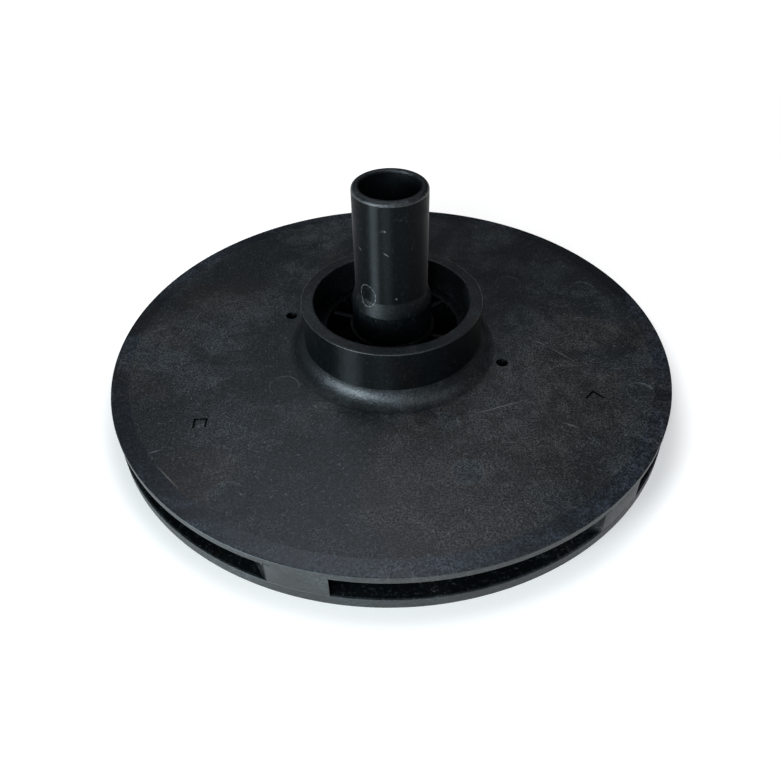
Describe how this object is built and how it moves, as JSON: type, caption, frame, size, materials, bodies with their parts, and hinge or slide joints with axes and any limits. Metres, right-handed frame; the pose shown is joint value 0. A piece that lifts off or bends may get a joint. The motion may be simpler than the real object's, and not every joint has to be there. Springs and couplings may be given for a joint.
{
  "type": "pump impeller",
  "caption": "Closed centrifugal pump impeller: two welded discs with curved vanes between them, a raised eye collar and a long central shaft tube.",
  "frame": {"origin": "centre of the bore at the back face of the back disc", "axes": "+Z along the bore, from the back face towards the mouth of the shaft tube"},
  "size_m": [0.19, 0.19, 0.075],
  "materials": {
    "moulded_plastic": "black glass-filled plastic, fine grained, dusty and scuffed"
  },
  "bodies": {
    "root": {"front_shroud": "moulded_plastic", "back_shroud": "moulded_plastic"}
  },
  "joints": []
}
